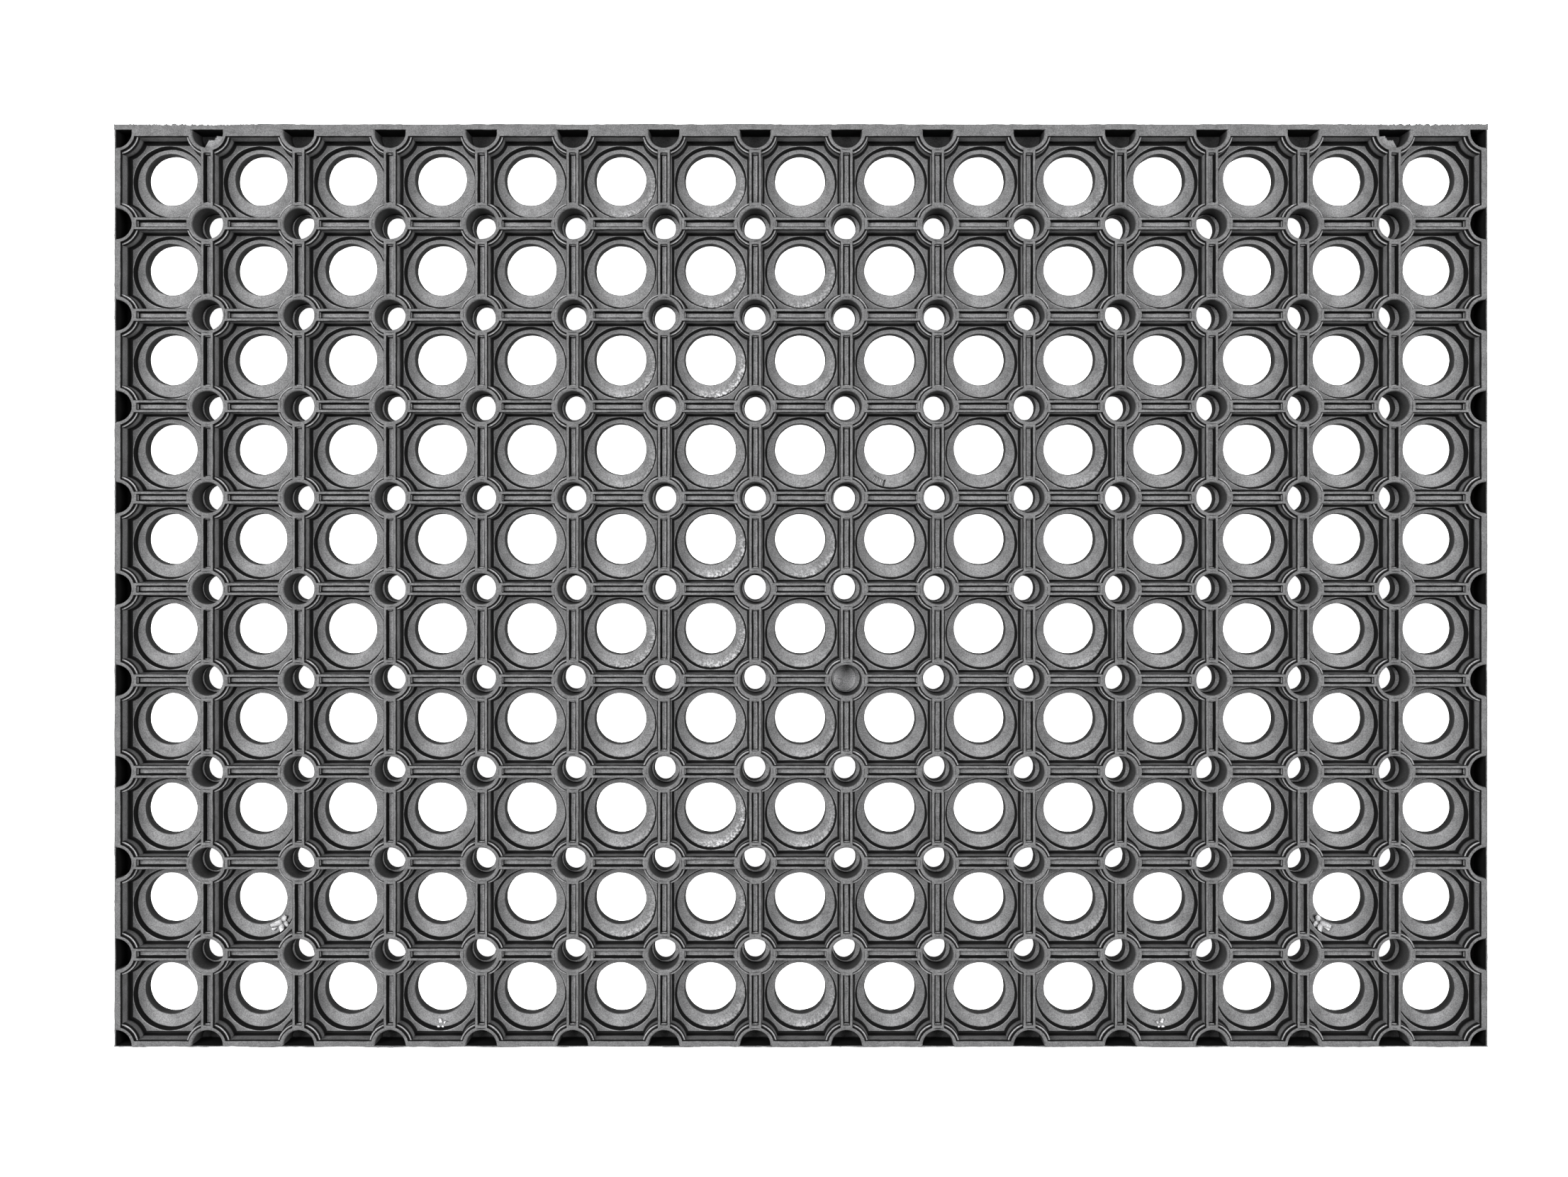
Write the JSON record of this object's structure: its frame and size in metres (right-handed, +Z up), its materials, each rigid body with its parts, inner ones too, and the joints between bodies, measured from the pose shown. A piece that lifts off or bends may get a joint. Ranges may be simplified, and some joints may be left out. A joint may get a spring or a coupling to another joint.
{
  "type": "door mat",
  "caption": "Thick black rubber ring mat: a grid of grooved webs with a drain ring in each cell and a small sleeve at each crossing, and half sleeves along the border.",
  "frame": {"origin": "under the middle of the mat, on the surface that it lies on", "axes": "+X along the length, +Y towards the back edge with the thick strip, +Z up out of the tread"},
  "size_m": [0.6, 0.4036, 0.022],
  "materials": {
    "ring_rubber": "satin",
    "sleeve_rubber": "satin",
    "web_rubber": "satin"
  },
  "bodies": {
    "root": {"back_rim": "web_rubber", "front_rim": "web_rubber", "left_rim": "web_rubber", "right_rim": "web_rubber", "back_half_sleeves": "sleeve_rubber", "front_half_sleeves": "sleeve_rubber", "left_half_sleeves": "sleeve_rubber", "right_half_sleeves": "sleeve_rubber", "corner_quarter_sleeves": "sleeve_rubber", "closed_sleeve_web": "sleeve_rubber", "ring_row_01": "ring_rubber", "ring_row_02": "ring_rubber", "ring_row_03": "ring_rubber", "ring_row_04": "ring_rubber", "ring_row_05": "ring_rubber", "ring_row_06": "ring_rubber", "ring_row_07": "ring_rubber", "ring_row_08": "ring_rubber", "ring_row_09": "ring_rubber", "ring_row_10": "ring_rubber", "sleeve_row_01": "sleeve_rubber", "sleeve_row_02": "sleeve_rubber", "sleeve_row_03": "sleeve_rubber", "sleeve_row_04": "sleeve_rubber", "sleeve_row_05": "sleeve_rubber", "sleeve_row_06": "sleeve_rubber", "sleeve_row_07": "sleeve_rubber", "sleeve_row_08": "sleeve_rubber", "sleeve_row_09": "sleeve_rubber", "long_web_row_01": "web_rubber", "long_web_row_02": "web_rubber", "long_web_row_03": "web_rubber", "long_web_row_04": "web_rubber", "long_web_row_05": "web_rubber", "long_web_row_06": "web_rubber", "long_web_row_07": "web_rubber", "long_web_row_08": "web_rubber", "long_web_row_09": "web_rubber", "cross_web_column_01": "web_rubber", "cross_web_column_02": "web_rubber", "cross_web_column_03": "web_rubber", "cross_web_column_04": "web_rubber", "cross_web_column_05": "web_rubber", "cross_web_column_06": "web_rubber", "cross_web_column_07": "web_rubber", "cross_web_column_08": "web_rubber", "cross_web_column_09": "web_rubber", "cross_web_column_10": "web_rubber", "cross_web_column_11": "web_rubber", "cross_web_column_12": "web_rubber", "cross_web_column_13": "web_rubber", "cross_web_column_14": "web_rubber"}
  },
  "joints": []
}
